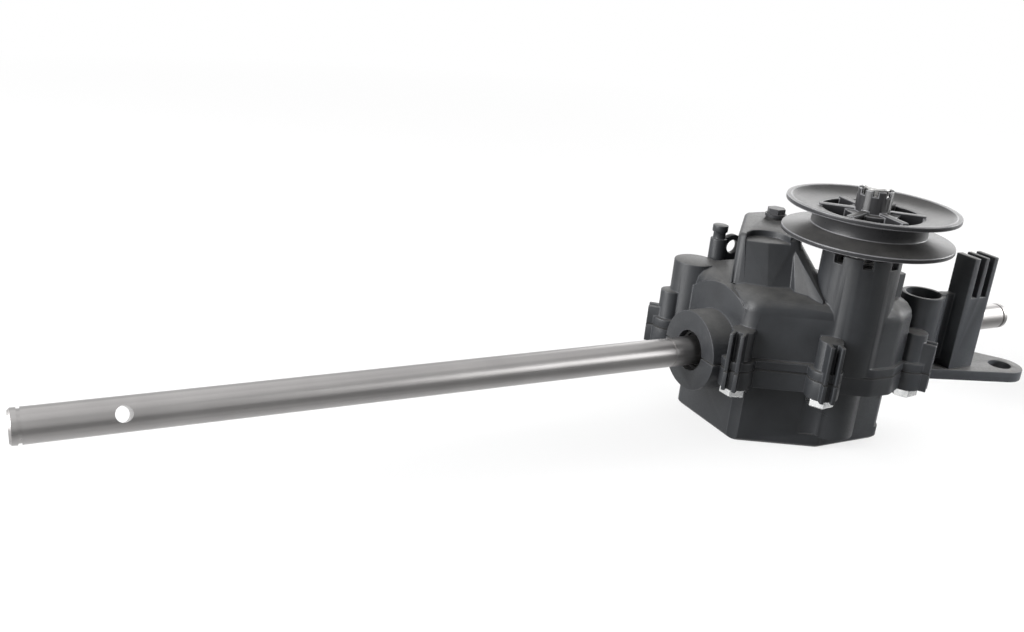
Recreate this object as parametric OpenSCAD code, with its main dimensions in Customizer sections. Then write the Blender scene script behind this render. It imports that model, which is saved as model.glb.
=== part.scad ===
// Worm drive gearbox: a belt pulley on an upright input shaft turns a long cross axle.
// The origin is on the axle's axis, in the plane of the input shaft. +X points to the
// axle's short end, +Y to the rear and +Z up. All sizes are in millimetres.

/* [Axle] */
// Diameter of the axle
axle_d = 12; // [11:0.5:13]
// Reach of the axle's long end from the input shaft's plane
axle_left = 312.5; // [200:0.5:400]
// Reach of the axle's short end from the input shaft's plane
axle_right = 131.5; // [110:0.5:200]
// Chamfer on the axle's ends
axle_chamfer = 0.8; // [0.3:0.1:1.5]
// Diameter of the cross hole near each end
cross_hole_d = 5.6; // [3:0.1:7]
// Distance of the cross hole from the end
cross_hole_inset = 33.5; // [20:0.5:50]
// Tilt of the cross holes at rest, their front ends up
cross_hole_tilt = 26; // [-45:1:45]
// Distance of the clip groove from the end
clip_groove_inset = 2.6; // [2:0.1:5]
// Width of a clip groove
clip_groove_w = 1.1; // [0.8:0.1:1.6]
// Distance of the relief groove from the collar's face
relief_out = 10; // [4:0.5:14]
// Width of the relief groove beside a journal
relief_w = 1.5; // [1:0.1:2.5]
// Depth of the relief groove
relief_depth = 0.2; // [0.1:0.05:0.4]
// Depth of a clip groove
clip_groove_depth = 0.5; // [0.3:0.05:0.8]

/* [Worm drive] */
// Module of the worm and wheel
gear_module = 1.25; // [1.15:0.01:1.3]
// Number of wheel teeth
wheel_teeth = 36; // [34:1:37]
// Number of worm starts
worm_starts = 2; // [1:1:3]
// Pitch radius of the worm
worm_pitch_r = 6.7; // [6.4:0.1:7.2]
// Play between the worm's flanks and the teeth, each side
flank_play = 0.13; // [0.08:0.01:0.25]
// Width of the toothed ring
ring_w = 12; // [8:0.5:14]
// Length of the worm's thread
thread_length = 24; // [18:1:24]
// Width of the wheel's hub
hub_w = 16; // [14:0.5:20]
// Radius of the wheel's hub, where the ring is moulded on
hub_r = 14; // [12:0.5:16]

/* [Input shaft] */
// Diameter of the shaft through the worm
worm_bore_d = 8; // [7:0.25:8.5]
// Diameter of the shaft's upper journal
journal_d = 10; // [10:0.25:11]
// Height of the shaft's top end
shaft_top = 76; // [75.5:0.1:78]
// Depth of the shaft's lower end below the axle
shaft_bottom = 28.5; // [26:0.5:29]

/* [Pulley] */
// Radius of the pulley's flanges
pulley_r = 33.6; // [31:0.1:36]
// Radius of the drum where the belt runs
drum_r = 22.5; // [21:0.5:24]
// Height of the lower flange's underside
pulley_bottom = 54.8; // [54:0.1:56]
// Width of the pulley over its flanges
pulley_w = 14; // [13:0.25:16]
// Width of the drum between the flanges' cones
drum_w = 5.4; // [4:0.1:7]
// Thickness of the flanges at the rim
rim_t = 1.8; // [1.4:0.1:2.2]
// Number of spokes
spokes = 6; // [5:1:8]
// Thickness of a spoke
spoke_t = 3; // [2:0.25:4]
// Angle of the first spoke
spoke_phase = 22; // [0:1:59]

/* [Input bearing] */
// Outer diameter of the ball bearing
bearing_od = 26; // [25:0.5:26.5]
// Width of the ball bearing
bearing_w = 8; // [7:0.5:8.5]
// Diameter of a ball
ball_d = 4.6; // [4:0.1:4.8]
// Number of balls
ball_count = 7; // [6:1:8]

/* [Housing] */
// Wall of the housing
wall = 3; // [2.5:0.1:3.5]
// Depth of the bowl below the axle
bowl_depth = 35; // [33:0.5:40]
// Reach of the bowl to the long end of the axle
bowl_left = 41.5; // [41:0.5:44]
// Reach of the bowl to the short end of the axle
bowl_right = 36; // [35:0.5:38]
// Reach of the bowl to the front
bowl_front = 35.5; // [34.5:0.5:37]
// Reach of the bowl to the rear
bowl_rear = 30; // [29.5:0.5:34]
// Step from the bowl's wall out to the upper housing's wall
body_step = 2.5; // [2:0.25:3]
// Step from the bowl's wall out to the flange's edge
flange_step = 5; // [4:0.25:6]
// Thickness of the lower flange
flange_t = 8; // [6:0.5:9]
// Thickness of the upper flange
upper_flange_t = 4; // [3:0.5:6]
// Thickness of the gasket between the halves
gasket_t = 0.6; // [0.4:0.1:1]
// Radius of the tunnel over the worm wheel
tunnel_r = 28.5; // [28.2:0.1:30]
// Height of the shoulder beside the tunnel
shoulder_h = 30; // [29:0.5:32]
// Height of the dome's front ledge
dome_h = 47; // [43:0.5:48]
// Step from the dome's front ledge up to its top
dome_step = 2.5; // [1.5:0.25:3]
// Radius of the input bearing's tower
tower_r = 15.6; // [15.2:0.1:16.5]
// Height of the tower's crown
tower_h = 49.5; // [48:0.5:50]
// Radius of the axle collars
collar_r = 16.8; // [16.5:0.1:18]
// Place of the collar's face on the long side
collar_left = 56; // [55:0.5:58]
// Place of the collar's face on the short side
collar_right = 44; // [43.5:0.5:46]

/* [Screws] */
// Nominal diameter of the housing screws
screw_d = 6; // [5:0.5:6.5]
// Height of a screw's hexagon head
screw_head_h = 4; // [3:0.25:5]
// Width of the head across its flats
screw_flats = 10; // [9:0.5:11]
// Depth of the screw in the upper housing
screw_reach = 14; // [10:0.5:15]
// Radius of a screw's ear
ear_r = 6.8; // [6.5:0.1:7.5]

/* [Fork and bracket] */
// Height of the cable fork
fork_h = 47; // [42:0.5:48]
// Width of the fork along the axle
fork_w = 14; // [12:0.5:16]
// Depth of the fork
fork_depth = 10; // [8:0.5:12]
// Width of a slot in the fork
fork_slot = 3.2; // [2.5:0.1:3.6]
// Depth of the slots in the fork
fork_slot_depth = 17.5; // [12:0.5:19]
// Thickness of the bracket plate
plate_t = 4.5; // [3.5:0.25:5]
// Diameter of the hole in the bracket plate
plate_hole_d = 9.6; // [8:0.1:10.5]
// Radius of the plate round its hole
plate_end_r = 9.5; // [9:0.25:11]
// Diameter of the cable eye
eye_d = 6; // [4:0.25:6.5]

/* [Fits] */
// Radial clearance of a shaft in a plain bush
running = 0.04; // [0.02:0.01:0.08]
// Radial clearance under a seal's lip
lip_gap = 0.08; // [0.05:0.01:0.1]
// End play between two thrust faces
end_play = 0.15; // [0.1:0.05:0.3]
// Radial clearance of a screw in the lower flange
screw_gap = 0.25; // [0.15:0.05:0.4]

/* [Hidden] */
$fn = 96;
eps = 0.01;

charcoal = [0.20, 0.21, 0.22];
steel = [0.66, 0.66, 0.67];
dark_steel = [0.40, 0.41, 0.43];
rubber = [0.08, 0.08, 0.08];
bronze = [0.66, 0.50, 0.28];
nylon = [0.86, 0.83, 0.74];

half_gap = gasket_t / 2;

// Worm and wheel
wheel_pitch_r = gear_module * wheel_teeth / 2;
centre_dist = wheel_pitch_r + worm_pitch_r;
axial_pitch = PI * gear_module;
lead = axial_pitch * worm_starts;
lead_angle = atan(lead / (2 * PI * worm_pitch_r));
pressure_angle = 20;
worm_tip_r = worm_pitch_r + gear_module;
worm_root_r = worm_pitch_r - 1.2 * gear_module;
wheel_tip_r = wheel_pitch_r + 0.9 * gear_module;
wheel_root_r = wheel_pitch_r - 1.2 * gear_module;
thread_facets_a_turn = 18;

// Input shaft, upwards from its lower end
bush_wall = 2.5;
lower_bush_l = 10;
lower_bush_flange_t = 1.5;
lower_bush_bottom = -shaft_bottom;
lower_bush_top = lower_bush_bottom + lower_bush_l;
lower_washer_t = 1;
worm_bottom = lower_bush_top + lower_bush_flange_t + lower_washer_t + 2 * end_play;
worm_hub_r = worm_root_r - 0.3;
worm_collar_r = worm_tip_r + 0.3;
worm_room_r = worm_tip_r + 0.9;
worm_top = thread_length / 2 + 7;
worm_pin_d = 2.5;
worm_pin_z = thread_length / 2 + 3.8;
bearing_bottom = 29;
bearing_top = bearing_bottom + bearing_w;
shoulder_ring_r = 6.5;
shoulder_ring_h = 2.4;
bearing_pitch_r = (bearing_od + journal_d) / 4;
race_step = 1.5;
cage_h = ball_d + 1.8;
bearing_clip_t = 1.2;
seal_h = 6;
seal_bottom = bearing_top + bearing_clip_t + 1;
sleeve_r = 7;
hub_bottom = pulley_bottom - 2.6;

// Pulley hub and retainer
pulley_top = pulley_bottom + pulley_w;
pulley_hub_r = 9;
crown_r = 6.9;
crown_bore_r = 5.7;
crown_top = pulley_top + 6.2;
washer_seat = crown_top - 4.2;
pulley_washer_t = 1;
pulley_clip_t = 1;
key_w = 3;
key_depth = 1.6;

// Axle stack
seal_l = 7;
seal_r = 12;
lip_t = 3;
collar_mouth_r = 8.5;
bush_l = 14;
bush_r = axle_d / 2 + 3;
bush_flange_r = bush_r + 2;
bush_flange_t = 2;
saddle_r = bush_r + 3;
washer_t = 1;
spacer_r = axle_d / 2 + 2.4;
wheel_clip_t = 1.1;
axle_key_w = 4;
axle_key_l = 13;
axle_key_sunk = 2.4;
axle_key_proud = 1.6;

// Screw places: centre, the way that the ear faces outwards, and the height of its fins
boss_h = screw_reach + 2;
boss_r = screw_d / 2 + 1.8;
screws = [
    [-46, -20, 215, boss_h], [-17, -39, 245, boss_h], [28.5, -40, 305, 12.5],
    [42, 19, 25, boss_h], [6, 35.5, 90, boss_h], [-47.5, 28.5, 140, boss_h / 2]
];
ear_root = 9;
ear_neck = 2 * ear_r - 1;
ear_fin_t = 1.6;
ear_fin_pitch = 4.4;
ear_fin_reach = 2.2;
// Room for a socket below each head, and the flutes that two of them leave in the bowl
head_room_r = ear_r - 0.2;
flute_r = 8.2;
flute_foot = 6;
fluted = [1, 2];

// Plans of the housing, counter-clockwise
bowl_plan = [
    [-bowl_left, -18.6], [-9, -bowl_front], [24, -bowl_front], [bowl_right, -18],
    [bowl_right, 19], [25, bowl_rear], [-33, bowl_rear], [-bowl_left, 20.2]
];
bowl_bevel = 1.3;
bowl_corner_r = 4;
flange_corner_r = 6;
flange_lip = 1.5;
body_corner_r = 7;
body_h = 14;
shoulder_edge = 7;
dome_plan = [
    [-38.9, 1.5], [-28.9, -5.7], [-15.6, -11.4], [3.5, 23], [1, 31], [-12.2, 31]
];
dome_foot_plan = [
    [-41.2, -1.5], [-29.8, -11.4], [-14, -16.5], [7, 22], [3, 31.4], [-12.6, 31.4]
];
dome_root = shoulder_h - 6;
dome_edge = 1.2;
dome_corner_r = 3;
dome_top = dome_h + dome_step;
ledge_place = [-28, -4.5];
ledge_r = 9;

// Point where two lines meet, each given by a point and a direction
function meet(p, d, q, e) =
    let (t = ((q.x - p.x) * e.y - (q.y - p.y) * e.x) / (d.x * e.y - d.y * e.x)) p + t * d;

// A convex plan drawn in by a distance, or out by a negative one
function inset(plan, by) = let (n = len(plan)) [
    for (i = [0 : n - 1])
        let (a = plan[(i + n - 1) % n], b = plan[i], c = plan[(i + 1) % n],
             u = (b - a) / norm(b - a), v = (c - b) / norm(c - b))
            meet(a + by * [-u.y, u.x], u, b + by * [-v.y, v.x], v)
];

// A convex plan whose corners are rounded, each by four short edges
function rounded(plan, r) = let (n = len(plan)) [
    for (i = [0 : n - 1])
        let (a = plan[(i + n - 1) % n], b = plan[i], c = plan[(i + 1) % n],
             u = (a - b) / norm(a - b), v = (c - b) / norm(c - b),
             half = acos(u * v) / 2,
             centre = b + r / sin(half) * (u + v) / norm(u + v),
             start = b + r / tan(half) * u - centre)
            for (k = [0 : 4]) let (t = k * (180 - 2 * half) / 4)
                centre + [start.x * cos(t) - start.y * sin(t), start.x * sin(t) + start.y * cos(t)]
];

inner_plan = inset(bowl_plan, wall + bowl_bevel);
body_plan = inset(bowl_plan, -body_step);
shoulder_plan = [
    body_plan[0], body_plan[0] + 47 * [1, (body_plan[1].y - body_plan[0].y) / (body_plan[1].x - body_plan[0].x)],
    [13, -45], [25, -39.5], [30, -27], [30, -4], [-9, 31],
    [-32, 31], [-40, 27], [body_plan[0].x, 15]
];

module ring(r_out, r_in, h) {
    difference() {
        cylinder(r = r_out, h = h);
        translate([0, 0, -1]) cylinder(r = r_in, h = h + 2);
    }
}

// Turns a part drawn upwards so that it points along +X
module along_x(x) {
    translate([x, 0, 0]) rotate([0, 90, 0]) children();
}

module at_input(z) {
    translate([0, -centre_dist, z]) children();
}

module plan_block(plan, z0, z1) {
    translate([0, 0, z0]) linear_extrude(z1 - z0) polygon(plan);
}

// A block whose corners are rounded, and its top edge too, in three steps
module soft_top_block(plan, z0, z1, edge, corner_r) {
    steps = [[edge, 0], [0.62 * edge, 0.08 * edge], [0.26 * edge, 0.34 * edge], [0, edge]];
    hull() for (s = steps) plan_block(rounded(inset(plan, s[1]), corner_r), z0, z1 - s[0]);
}

// The two fins that flank a screw, seen from above
module fins_plan(s) {
    translate([s.x, s.y]) rotate(s.z) for (side = [-1, 1])
        translate([-ear_r, side * ear_fin_pitch / 2 - ear_fin_t / 2])
            square([2 * ear_r + ear_fin_reach, ear_fin_t]);
}

// Outline of the flange with an ear and two fins at each screw
module flange_plan() {
    polygon(rounded(inset(bowl_plan, -flange_step), flange_corner_r));
    polygon(rounded(inset(shoulder_plan, -flange_lip), flange_corner_r));
    for (s = screws) {
        translate([s.x, s.y]) circle(r = ear_r);
        translate([s.x, s.y]) rotate(s.z) translate([-ear_root, -ear_neck / 2]) square([ear_root, ear_neck]);
        fins_plan(s);
    }
}

module flange(z0, z1) {
    translate([0, 0, z0]) linear_extrude(z1 - z0) flange_plan();
}

module screw_holes(r, z0, z1) {
    for (s = screws) translate([s.x, s.y, z0]) cylinder(r = r, h = z1 - z0, $fn = 48);
}

module bowl_shape() {
    hull() {
        plan_block(rounded(inset(bowl_plan, bowl_bevel), bowl_corner_r), -bowl_depth, -half_gap);
        plan_block(rounded(bowl_plan, bowl_corner_r), -bowl_depth + bowl_bevel, -half_gap);
    }
}

// Space inside both halves: the bowl, the wheel's tunnel and the worm's well
module inner_space() {
    plan_block(inner_plan, -bowl_depth + wall, body_h - wall);
    intersection() {
        along_x(-bowl_left) cylinder(r = tunnel_r - wall, h = bowl_left + bowl_right);
        plan_block(inner_plan, -bowl_depth, tunnel_r);
    }
    at_input(lower_bush_top) cylinder(r = worm_room_r, h = bearing_bottom - 2 - lower_bush_top);
}

// Everything that the axle's bushes, seals and collars take out of both halves
module axle_bores() {
    along_x(-collar_left - 1) cylinder(r = collar_mouth_r, h = collar_left + collar_right + 2);
    along_x(-collar_left + lip_t) cylinder(r = seal_r, h = seal_l);
    along_x(collar_right - lip_t - seal_l) cylinder(r = seal_r, h = seal_l);
    along_x(-collar_left + lip_t + seal_l - eps) cylinder(r = bush_r, h = bush_l + eps);
    along_x(collar_right - lip_t - seal_l - bush_l) cylinder(r = bush_r, h = bush_l + eps);
}

module saddles() {
    along_x(-collar_left) cylinder(r = collar_r, h = collar_left - bowl_left + wall);
    along_x(bowl_right - wall) cylinder(r = collar_r, h = collar_right - bowl_right + wall);
    along_x(-bowl_left) cylinder(r = saddle_r, h = bowl_left - collar_left + lip_t + seal_l + bush_l);
    along_x(collar_right - lip_t - seal_l - bush_l) cylinder(r = saddle_r, h = lip_t + seal_l + bush_l);
}

module below(z) {
    translate([-100, -100, z - 100]) cube([250, 200, 100]);
}

module above(z) {
    translate([-100, -100, z]) cube([250, 200, 100]);
}

plate_hole = [80.5, -44];
plate_bottom = -flange_t + 1;
plate_root = [bowl_right - 3, -36];
plate_root_size = [4, 17];
plate_corner = [74, -30];
plate_corner_r = 6;

// Flat bracket from the lower flange out to the hole for the belt spring
module bracket_plate() {
    difference() {
        hull() {
            translate([plate_hole.x, plate_hole.y, plate_bottom])
                cylinder(r = plate_end_r, h = plate_t, $fn = 32);
            translate([plate_root.x, plate_root.y, plate_bottom])
                cube([plate_root_size.x, plate_root_size.y, plate_t]);
            translate([plate_corner.x, plate_corner.y, plate_bottom])
                cylinder(r = plate_corner_r, h = plate_t, $fn = 32);
        }
        translate([plate_hole.x, plate_hole.y, plate_bottom - 1])
            cylinder(d = plate_hole_d, h = plate_t + 2);
    }
}

// The bulge round the worm's well and the holder of the lower bush
well_r = worm_room_r + 2.3;
well_bottom = -bowl_depth + 5;
holder_r = worm_bore_d / 2 + bush_wall + 2.7;

module lower_housing() {
    color(charcoal) difference() {
        union() {
            difference() {
                union() {
                    bowl_shape();
                    flange(-flange_t, -half_gap);
                    at_input(well_bottom) cylinder(r = well_r, h = -half_gap - well_bottom);
                }
                intersection() {
                    inner_space();
                    below(1);
                }
                for (i = fluted) translate([screws[i].x, screws[i].y, -bowl_depth + flute_foot])
                    cylinder(r = flute_r, h = bowl_depth - flute_foot - flange_t, $fn = 48);
            }
            intersection() {
                saddles();
                below(-half_gap);
            }
            intersection() {
                at_input(lower_bush_bottom - wall) cylinder(r = holder_r, h = lower_bush_l + wall);
                below(-half_gap);
            }
            bracket_plate();
        }
        axle_bores();
        translate([0, 0, -bowl_depth]) screw_holes(head_room_r, -1, bowl_depth - flange_t);
        at_input(lower_bush_bottom) cylinder(d = worm_bore_d + 2 * bush_wall, h = lower_bush_l + eps);
        at_input(lower_bush_top - eps) cylinder(r = worm_room_r, h = -lower_bush_top + 1);
        screw_holes(screw_d / 2 + screw_gap, -flange_t - 1, 1);
    }
}

fork_place = [51, -42];
fork_prong = 3.2;
fork_rib = 2.2;

// Upright that guides the control cable, slotted into prongs
module cable_fork() {
    fork_bottom = plate_bottom + plate_t;
    difference() {
        translate([fork_place.x, fork_place.y, fork_bottom])
            cube([fork_w, fork_depth, fork_h - fork_bottom]);
        for (i = [0, 1])
            translate([fork_place.x + fork_prong + i * (fork_slot + fork_rib), fork_place.y - 1, fork_h - fork_slot_depth])
                cube([fork_slot, fork_depth + 2, fork_slot_depth + 1]);
    }
}

cup_place = [38, -31];
cup_r = 9;
cup_h = 29.5;
cup_depth = 10;
cup_wall = 1.8;
pillar_place = [14.2, -33.5];
pillar_size = [8, 7.5, 40];
rib_place = [44, -36];
rib_size = [9, 4, 29.5];
column_place = [-39, 26.5];
column_r = 9;

// Post, web and ring with the eye that a control cable hooks into
post_place = [-24.5, 31];
post_r = 3.6;
post_neck_r = 2.7;
post_neck_z = 38;
post_knob_z = 41;
post_top = 44;
eye_place = [-17.3, 34];
eye_web = [29.6, 2.6];
eye_web_l = 16;
eye_web_top = 38.4;
eye_rim = 2.4;

module cable_eye() {
    translate([post_place.x, post_place.y, 0]) {
        translate([0, 0, half_gap + 1]) cylinder(r = post_r, h = post_neck_z - half_gap - 1);
        translate([0, 0, post_neck_z - 1]) cylinder(r = post_neck_r, h = post_knob_z - post_neck_z + 2);
        translate([0, 0, post_knob_z]) cylinder(r = post_r - 0.2, h = post_top - post_knob_z);
    }
    difference() {
        union() {
            translate([post_place.x, eye_web[0], body_h - 1])
                cube([eye_web_l, eye_web[1], eye_web_top - body_h + 1]);
            translate([eye_place.x, eye_web[0], eye_place.y]) rotate([-90, 0, 0])
                cylinder(r = eye_d / 2 + eye_rim, h = eye_web[1]);
        }
        translate([eye_place.x, eye_web[0] - 1, eye_place.y]) rotate([-90, 0, 0])
            cylinder(d = eye_d, h = eye_web[1] + 2, $fn = 48);
    }
}

// Dome with its lower ledge at the front, and the web from it down to the tower
module dome() {
    difference() {
        hull() {
            plan_block(rounded(inset(dome_plan, dome_edge), dome_corner_r - dome_edge), dome_root, dome_top);
            plan_block(rounded(dome_plan, dome_corner_r), dome_root, dome_top - dome_edge);
            plan_block(rounded(dome_foot_plan, dome_corner_r), dome_root, shoulder_h - 1);
        }
        translate([ledge_place.x, ledge_place.y, dome_h]) cylinder(r = ledge_r, h = 2 * dome_step);
    }
    hull() {
        plan_block([[-18.6, -9.8], [-15.2, -11], [-10, -5]], dome_root, dome_h - 1.5);
        plan_block([[-23, -20], [-17.4, -30.7], [-8, -24], [-8, -6]], dome_root, shoulder_h - 0.5);
    }
}

plug_place = [-5, 19.4];
plug_thread_d = 6;

module tower() {
    at_input(half_gap) cylinder(r = tower_r, h = tower_h - half_gap);
}

tower_notch = 3.5;
tower_notch_w = 4;

module tower_notches() {
    for (i = [0 : 7])
        at_input(tower_h - tower_notch) rotate(i * 45 + 10)
            translate([tower_r - 4, -tower_notch_w / 2, 0]) cube([8, tower_notch_w, 2 * tower_notch]);
}

module upper_housing() {
    color(charcoal) difference() {
        union() {
            difference() {
                union() {
                    plan_block(rounded(body_plan, body_corner_r), half_gap, body_h);
                    flange(half_gap, upper_flange_t);
                    intersection() {
                        along_x(body_plan[0].x) cylinder(r = tunnel_r, h = bowl_left + bowl_right + 2 * body_step);
                        plan_block(rounded(body_plan, body_corner_r), half_gap, tunnel_r + 1);
                    }
                    soft_top_block(shoulder_plan, half_gap, shoulder_h, shoulder_edge, body_corner_r);
                    dome();
                    for (s = screws) {
                        translate([0, 0, half_gap]) linear_extrude(s[3]) fins_plan(s);
                        translate([s.x, s.y, half_gap]) cylinder(r = boss_r, h = boss_h, $fn = 48);
                    }
                    tower();
                    translate([column_place.x, column_place.y, half_gap])
                        cylinder(r = column_r, h = shoulder_h - half_gap);
                    translate([cup_place.x, cup_place.y, half_gap]) cylinder(r = cup_r, h = cup_h - half_gap);
                    translate([pillar_place.x, pillar_place.y, half_gap])
                        cube([pillar_size.x, pillar_size.y, pillar_size.z - half_gap]);
                    translate([rib_place.x, rib_place.y, half_gap]) cube(rib_size);
                }
                intersection() {
                    inner_space();
                    above(-1);
                }
                plan_block(inset(dome_plan, wall), dome_root - 2, dome_h - wall);
                translate([cup_place.x, cup_place.y, cup_h - cup_depth])
                    cylinder(r = cup_r - cup_wall, h = cup_depth + 1);
            }
            intersection() {
                saddles();
                above(half_gap);
            }
            cable_eye();
            cable_fork();
        }
        axle_bores();
        at_input(-1) cylinder(r = worm_room_r, h = bearing_bottom - 1);
        at_input(bearing_bottom) cylinder(d = bearing_od, h = tower_h);
        at_input(1) cylinder(r = bearing_od / 2 - 3, h = tower_h);
        at_input(bearing_top) cylinder(r = bearing_od / 2 + 1, h = bearing_clip_t);
        tower_notches();
        screw_holes(screw_d / 2, -1, half_gap + screw_reach);
        translate([plug_place.x, plug_place.y, dome_h - wall - 1])
            cylinder(d = plug_thread_d, h = dome_step + wall + 2, $fn = 48);
    }
}

module housing_gasket() {
    color(rubber) difference() {
        flange(-half_gap, half_gap);
        plan_block(inner_plan, -1, 1);
        translate([-collar_left - 1, -seal_r, -1]) cube([collar_left + collar_right + 2, 2 * seal_r, 2]);
        at_input(-1) cylinder(r = worm_room_r, h = 2);
        screw_holes(screw_d / 2 + screw_gap, -1, 1);
    }
}

module hex_screw() {
    translate([0, 0, -flange_t - screw_head_h]) {
        intersection() {
            cylinder(d = screw_flats / cos(30), h = screw_head_h, $fn = 6);
            cylinder(r1 = screw_flats / 2 - 0.1, r2 = screw_flats / 2 + 3, h = screw_head_h);
        }
        cylinder(d = screw_d, h = screw_head_h + flange_t + half_gap + screw_reach - 1, $fn = 48);
    }
}

module housing_screws() {
    color(steel) for (s = screws) translate([s.x, s.y, 0]) rotate(s.z) hex_screw();
}

module axle() {
    key_seat_z = axle_d / 2 - axle_key_sunk;
    color(steel) difference() {
        along_x(-axle_left) rotate_extrude() polygon([
            [0, 0], [axle_d / 2 - axle_chamfer, 0], [axle_d / 2, axle_chamfer],
            [axle_d / 2, axle_left + axle_right - axle_chamfer],
            [axle_d / 2 - axle_chamfer, axle_left + axle_right], [0, axle_left + axle_right]
        ]);
        for (x = [-axle_left + cross_hole_inset, axle_right - cross_hole_inset])
            translate([x, 0, 0]) rotate([90 - cross_hole_tilt, 0, 0])
                cylinder(d = cross_hole_d, h = 2 * axle_d, center = true);
        for (x = [-axle_left + clip_groove_inset, axle_right - clip_groove_inset - clip_groove_w])
            along_x(x) ring(axle_d, axle_d / 2 - clip_groove_depth, clip_groove_w);
        for (x = [-hub_w / 2 - wheel_clip_t, hub_w / 2])
            along_x(x) ring(axle_d, axle_d / 2 - clip_groove_depth, wheel_clip_t);
        for (x = [-collar_left - relief_out - relief_w, collar_right + relief_out])
            along_x(x) ring(axle_d, axle_d / 2 - relief_depth, relief_w);
        translate([-axle_key_l / 2, -axle_key_w / 2, key_seat_z]) cube([axle_key_l, axle_key_w, axle_d]);
    }
}

module flanged_bush() {
    rotate_extrude() polygon([
        [axle_d / 2 + running, 0], [bush_r, 0], [bush_r, bush_l], [bush_flange_r, bush_l],
        [bush_flange_r, bush_l + bush_flange_t], [axle_d / 2 + running, bush_l + bush_flange_t]
    ]);
}

module left_bush() {
    color(bronze) along_x(-collar_left + lip_t + seal_l) flanged_bush();
}

module right_bush() {
    color(bronze) translate([collar_right - lip_t - seal_l, 0, 0]) rotate([0, -90, 0]) flanged_bush();
}

// Rubber lip seal with a hollow back
module axle_seal() {
    lip_r = axle_d / 2 + lip_gap;
    rotate_extrude() polygon([
        [lip_r, 2.6], [lip_r + 1.2, 1.4], [lip_r + 1.2, 0], [seal_r, 0], [seal_r, seal_l],
        [seal_r - 2, seal_l], [seal_r - 2, 2], [lip_r + 2.2, 2], [lip_r + 1.2, 5], [lip_r, 4]
    ]);
}

module left_axle_seal() {
    color(rubber) along_x(-collar_left + lip_t) axle_seal();
}

module right_axle_seal() {
    color(rubber) translate([collar_right - lip_t, 0, 0]) rotate([0, -90, 0]) axle_seal();
}

left_flange_face = -collar_left + lip_t + seal_l + bush_l + bush_flange_t;
right_flange_face = collar_right - lip_t - seal_l - bush_l - bush_flange_t;

module thrust_washer() {
    ring(bush_flange_r - 1, axle_d / 2 + 0.1, washer_t);
}

module left_thrust_washer() {
    color(steel) along_x(left_flange_face + end_play) thrust_washer();
}

module right_thrust_washer() {
    color(steel) along_x(right_flange_face - end_play - washer_t) thrust_washer();
}

module left_spacer() {
    start = left_flange_face + end_play + washer_t;
    color(steel) along_x(start) ring(spacer_r, axle_d / 2, -hub_w / 2 - wheel_clip_t - start);
}

module right_spacer() {
    start = hub_w / 2 + wheel_clip_t;
    color(steel) along_x(start) ring(spacer_r, axle_d / 2, right_flange_face - end_play - washer_t - start);
}

// Half thickness of a wheel tooth at a radius, as an involute
function half_tooth(r) =
    let (base_r = wheel_pitch_r * cos(pressure_angle),
         a = acos(min(1, base_r / r)),
         inv = tan(a) - a * PI / 180,
         inv_pitch = tan(pressure_angle) - pressure_angle * PI / 180)
        r * (PI / (2 * wheel_teeth) + inv_pitch - inv) - flank_play;

lug_r = 1.6;
lug_count = 6;

module drive_lugs(play) {
    for (i = [0 : lug_count - 1])
        rotate(i * 360 / lug_count) translate([hub_r, 0, -hub_w]) cylinder(r = lug_r + play, h = 2 * hub_w, $fn = 32);
}

module wheel_tooth() {
    radii = [for (i = [0 : 4]) wheel_root_r + 0.25 + i * (wheel_tip_r - wheel_root_r - 0.25) / 4];
    narrow = cos(lead_angle);
    flank = [for (r = radii) [r, narrow * half_tooth(r)]];
    profile = concat(
        [[wheel_root_r - 1, flank[0].y]], flank,
        [for (i = [len(flank) - 1 : -1 : 0]) [flank[i].x, -flank[i].y]],
        [[wheel_root_r - 1, -flank[0].y]]
    );
    // The tooth leans with the worm's thread
    rotate([-lead_angle, 0, 0]) translate([0, 0, -ring_w]) linear_extrude(2 * ring_w) polygon(profile);
}

module worm_wheel() {
    color(bronze) rotate([0, 90, 0]) difference() {
        intersection() {
            union() {
                translate([0, 0, -ring_w / 2]) cylinder(r = wheel_root_r, h = ring_w);
                for (i = [0 : wheel_teeth - 1])
                    rotate(90 + (i + 0.5) * 360 / wheel_teeth) wheel_tooth();
            }
            translate([0, 0, -ring_w / 2]) cylinder(r = wheel_tip_r, h = ring_w);
        }
        translate([0, 0, -ring_w]) cylinder(r = hub_r, h = 2 * ring_w);
        drive_lugs(0);
    }
}

module wheel_hub() {
    color(dark_steel) difference() {
        along_x(0) union() {
            translate([0, 0, -hub_w / 2]) cylinder(r = hub_r - 2, h = hub_w);
            translate([0, 0, -ring_w / 2]) cylinder(r = hub_r, h = ring_w);
            intersection() {
                drive_lugs(0);
                translate([0, 0, -ring_w / 2]) cylinder(r = hub_r + 3, h = ring_w);
            }
        }
        along_x(-hub_w) cylinder(d = axle_d, h = 2 * hub_w);
        translate([-hub_w, -axle_key_w / 2, 0])
            cube([2 * hub_w, axle_key_w, axle_d / 2 + axle_key_proud + 0.1]);
    }
}

module wheel_key() {
    color(steel) translate([-axle_key_l / 2, -axle_key_w / 2, axle_d / 2 - axle_key_sunk])
        cube([axle_key_l, axle_key_w, axle_key_sunk + axle_key_proud]);
}

// Open snap ring with two eyes, drawn flat with its gap towards +X
module snap_ring(r_in, r_out, t, gap) {
    difference() {
        ring(r_out, r_in, t);
        translate([0, -gap / 2, -1]) cube([r_out + 2, gap, t + 2]);
    }
}

module wheel_clips() {
    color(dark_steel) for (x = [-hub_w / 2 - wheel_clip_t, hub_w / 2])
        along_x(x) snap_ring(axle_d / 2 - clip_groove_depth, spacer_r - 0.3, wheel_clip_t, 4);
}

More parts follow.
